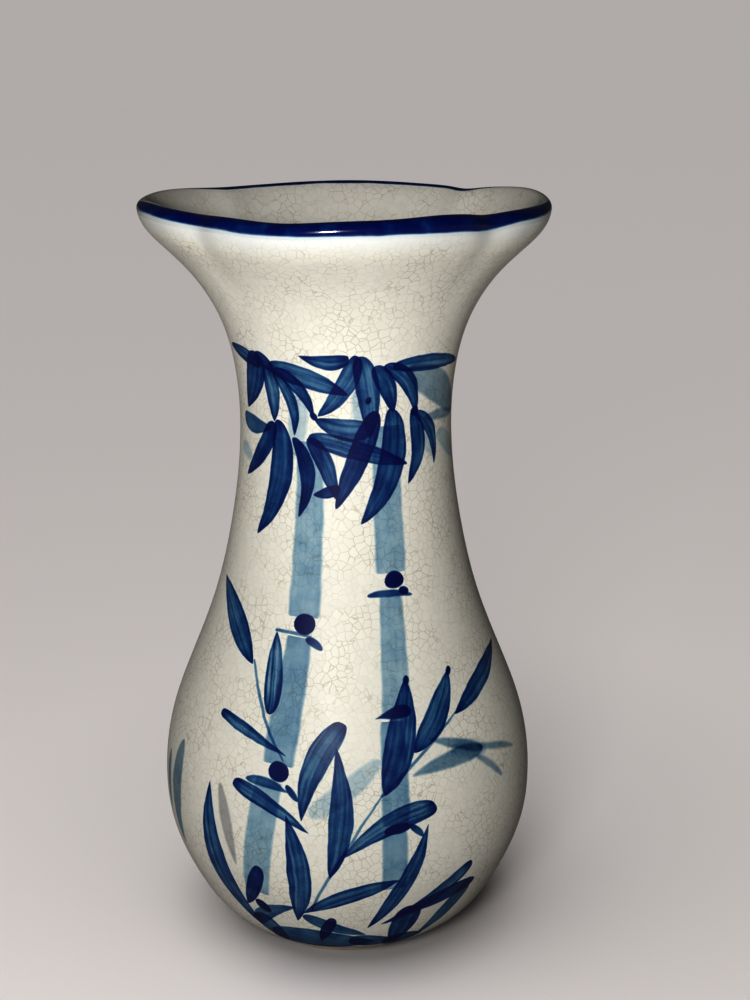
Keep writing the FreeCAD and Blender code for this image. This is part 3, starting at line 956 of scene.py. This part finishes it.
for name, node, slot in (("painted_glaze", "outer_glaze", "crackle_glaze"),
                         ("blue_lip_glaze", "lip_band", "cobalt_glaze"),
                         ("inside_glaze", "inner_glaze", "inside_glaze")):
    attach(pieces[name], "root")
    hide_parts(node)


# --- floor, light and camera --------------------------------------------------------------

FLOOR_RADIUS = 6.0
FLOOR_SIDES = 64
KEY_PLACE = (-0.075, -0.42, 0.275)   # just above the camera and to its left
LAMP_COLOUR = (1.0, 0.99, 0.975)
SUN_COLOUR = (1.0, 0.98, 0.96)
SUN_STRENGTH = 2.36
FLOOR_AS_SEEN = (0.72, 0.694, 0.694, 1.0)
FLOOR_AS_LIT = (0.18, 0.172, 0.168, 1.0)
SKY_COLOUR = (1.0, 0.955, 0.93, 1.0)
SKY_AS_LIGHT, SKY_AS_SEEN = 0.04, 0.53
MIDDLE = Vector((0.0, 0.0, 0.11))    # what the lights aim at
CAMERA_PLACE = (0.0, -0.400, 0.2415)
CAMERA_DOWN = 16.56                  # degrees that the camera looks down
CAMERA_TURN = -1.13                  # degrees about Z: it looks just right of the vase
CAMERA_FILM, CAMERA_LENS = 36.0, 54.6   # mm: an upright field of view of 36.5 degrees


def make_floor():
    """Plain pale floor, a wide disc.  It sends less light back up to the vase than the
    camera sees on it."""
    mesh = bpy.data.meshes.new("floor")
    rim = [(FLOOR_RADIUS * math.cos(turn), FLOOR_RADIUS * math.sin(turn), 0.0)
           for turn in np.arange(FLOOR_SIDES) * 2.0 * math.pi / FLOOR_SIDES]
    mesh.from_pydata(rim, [], [list(range(FLOOR_SIDES))])
    floor = bpy.data.objects.new("floor", mesh)
    bpy.context.scene.collection.objects.link(floor)
    material, nodes, shader = new_material("floor")
    seen = nodes.node("ShaderNodeLightPath").outputs["Is Camera Ray"]
    nodes.put(shader.inputs["Base Color"],
              nodes.mix(seen, FLOOR_AS_LIT, FLOOR_AS_SEEN))
    nodes.put(shader.inputs["Roughness"], 0.9)
    floor.data.materials.append(material)
    return floor


def only_for(lamp, objects):
    """Let a lamp light some objects only."""
    lit = bpy.data.collections.new(lamp.name + "_lights")
    for lit_object in objects:
        lit.objects.link(lit_object)
    lamp.light_linking.receiver_collection = lit


def make_light(name, place, size, watts):
    """Square soft light aimed at the middle of the vase."""
    light = bpy.data.lights.new(name, "AREA")
    light.size = size
    light.energy = watts
    light.color = LAMP_COLOUR
    lamp = bpy.data.objects.new(name, light)
    lamp.location = place
    aim = MIDDLE - Vector(place)
    lamp.rotation_euler = aim.to_track_quat("-Z", "Y").to_euler()
    bpy.context.scene.collection.objects.link(lamp)
    return lamp


def make_camera():
    """Camera in front of the vase, looking down a little."""
    camera = bpy.data.cameras.new("camera")
    camera.sensor_fit = "VERTICAL"
    camera.sensor_height = CAMERA_FILM
    camera.lens = CAMERA_LENS
    eye = bpy.data.objects.new("camera", camera)
    eye.location = CAMERA_PLACE
    eye.rotation_euler = (math.radians(90.0 - CAMERA_DOWN), 0.0, math.radians(CAMERA_TURN))
    bpy.context.scene.collection.objects.link(eye)
    bpy.context.scene.camera = eye


def make_sky():
    """Pale studio round the vase: bright to the camera, dim as a light."""
    world = bpy.data.worlds.new("studio")
    bpy.context.scene.world = world
    world.use_nodes = True
    world.node_tree.nodes.clear()
    nodes = Nodes(world.node_tree)
    seen = nodes.node("ShaderNodeLightPath").outputs["Is Camera Ray"]
    strength = nodes.ramp(seen, 0.0, 1.0, SKY_AS_LIGHT, SKY_AS_SEEN)
    sky = nodes.node("ShaderNodeBackground", {"Color": SKY_COLOUR,
                                              "Strength": strength})
    output = nodes.node("ShaderNodeOutputWorld")
    nodes.put(output.inputs["Surface"], sky.outputs[0])


def make_sun():
    """Broad soft light from above and a little to the left, for the floor."""
    light = bpy.data.lights.new("overhead", "SUN")
    light.angle = math.radians(60.0)
    light.energy = SUN_STRENGTH
    light.color = SUN_COLOUR
    lamp = bpy.data.objects.new("overhead", light)
    lamp.rotation_euler = Vector((0.15, 0.15, -1.0)).to_track_quat("-Z", "Y").to_euler()
    bpy.context.scene.collection.objects.link(lamp)
    return lamp


floor = make_floor()
vase = list(pieces.values()) + [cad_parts["clay_body"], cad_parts["base_glaze"]]
make_sky()
only_for(make_sun(), [floor])
only_for(make_light("key", KEY_PLACE, size=0.07, watts=1.85), vase)
only_for(make_light("floor_key", KEY_PLACE, size=0.12, watts=1.0), [floor])
# A low light behind the vase lifts its edges, and a narrow one fills in under the lip.
behind = make_light("behind", (-0.05, 0.70, 0.10), size=0.25, watts=2.2)
behind.visible_glossy = False
only_for(behind, vase)
collar = make_light("collar", (0.06, -0.45, 0.02), size=0.08, watts=0.024)
collar.rotation_euler = Vector((-0.06, 0.42, 0.185)).to_track_quat("-Z", "Y").to_euler()
collar.data.spread = math.radians(32.0)
collar.visible_glossy = False
only_for(collar, vase)
make_camera()
bpy.context.scene.view_settings.view_transform = "Standard"
bpy.context.scene.view_settings.gamma = 0.75
